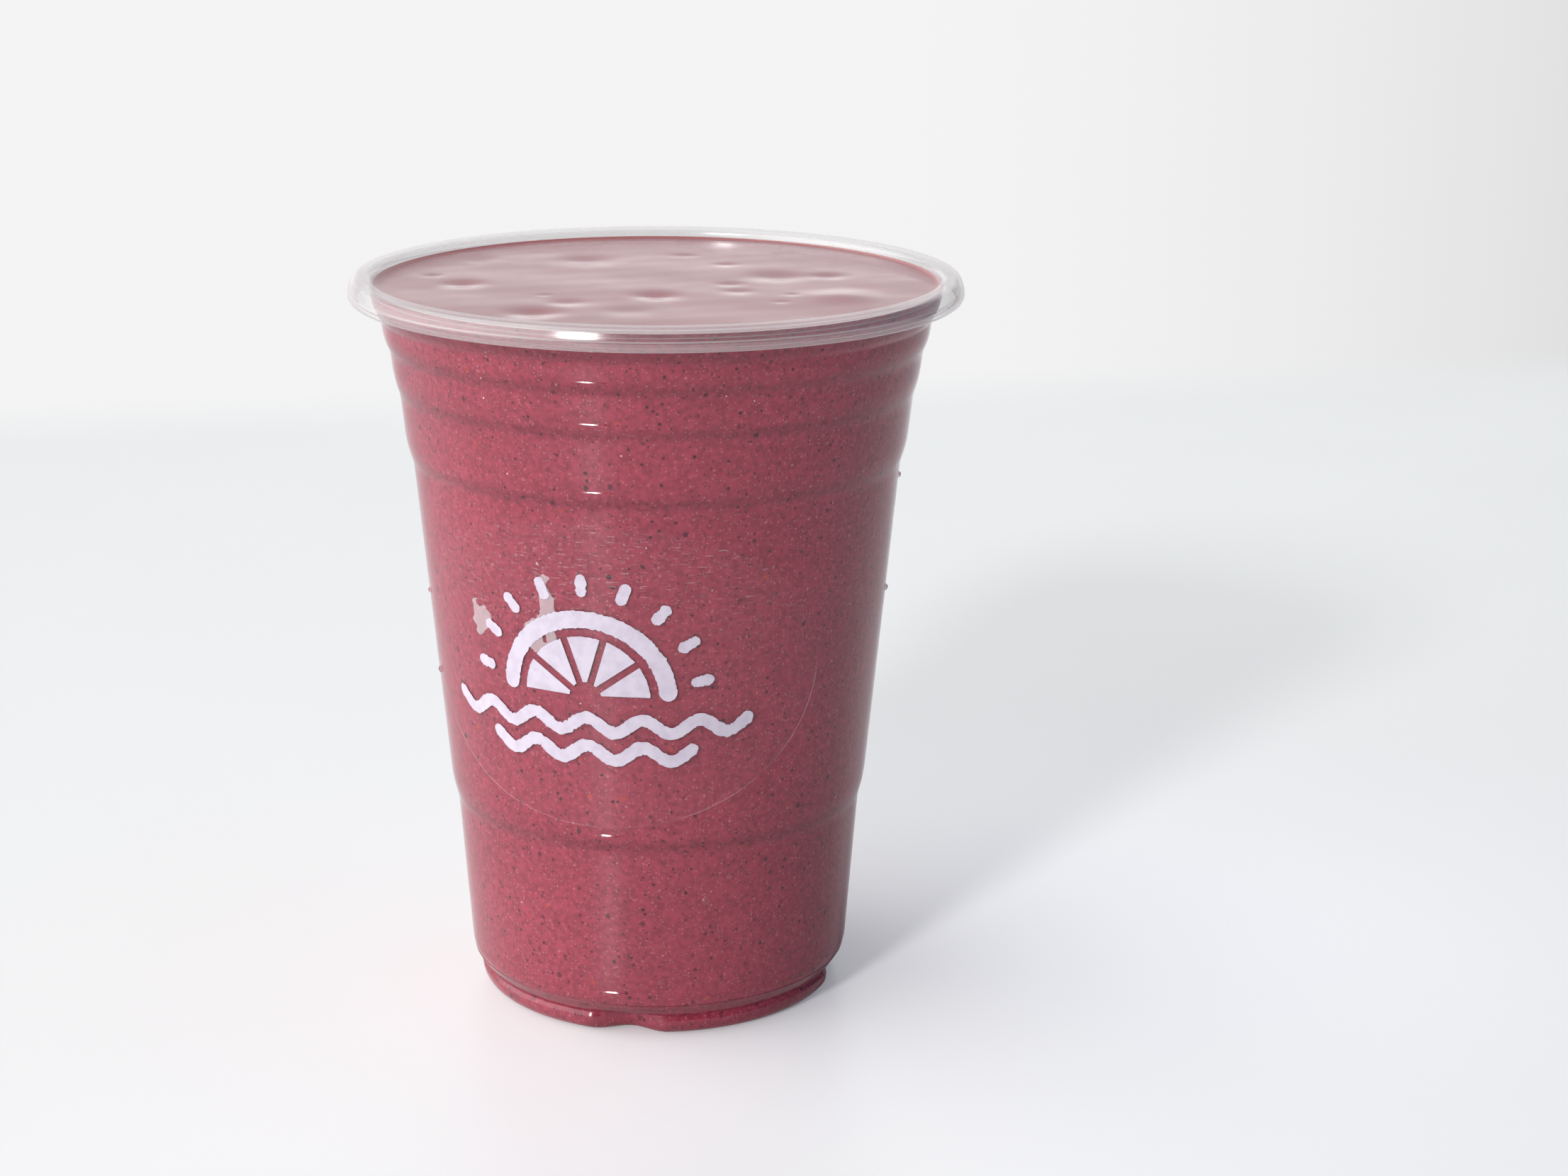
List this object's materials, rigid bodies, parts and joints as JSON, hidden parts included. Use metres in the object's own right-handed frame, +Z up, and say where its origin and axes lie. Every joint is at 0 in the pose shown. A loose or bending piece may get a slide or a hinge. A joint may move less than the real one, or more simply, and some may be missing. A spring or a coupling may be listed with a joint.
{
  "type": "berry smoothie",
  "caption": "Clear tapered disposable cup with rolled rim, stepped rings and fluted foot, filled to the brim with speckled berry smoothie, a clear oval label on its front.",
  "frame": {"origin": "centre of the cup's foot, on the surface that it stands on", "axes": "+Z up along the cup's axis, -Y towards the front with the label, +X to the right seen from the front"},
  "size_m": [0.095, 0.095, 0.1152],
  "materials": {
    "clear_plastic": "clear, glossy thermoformed sheet",
    "smoothie": "thick fruit puree, wet and glossy on top, with fine dark seeds and pale bubbles",
    "label_film": null
  },
  "bodies": {
    "root": {"cup": "clear_plastic", "smoothie": "smoothie", "label": "label_film"}
  },
  "joints": []
}
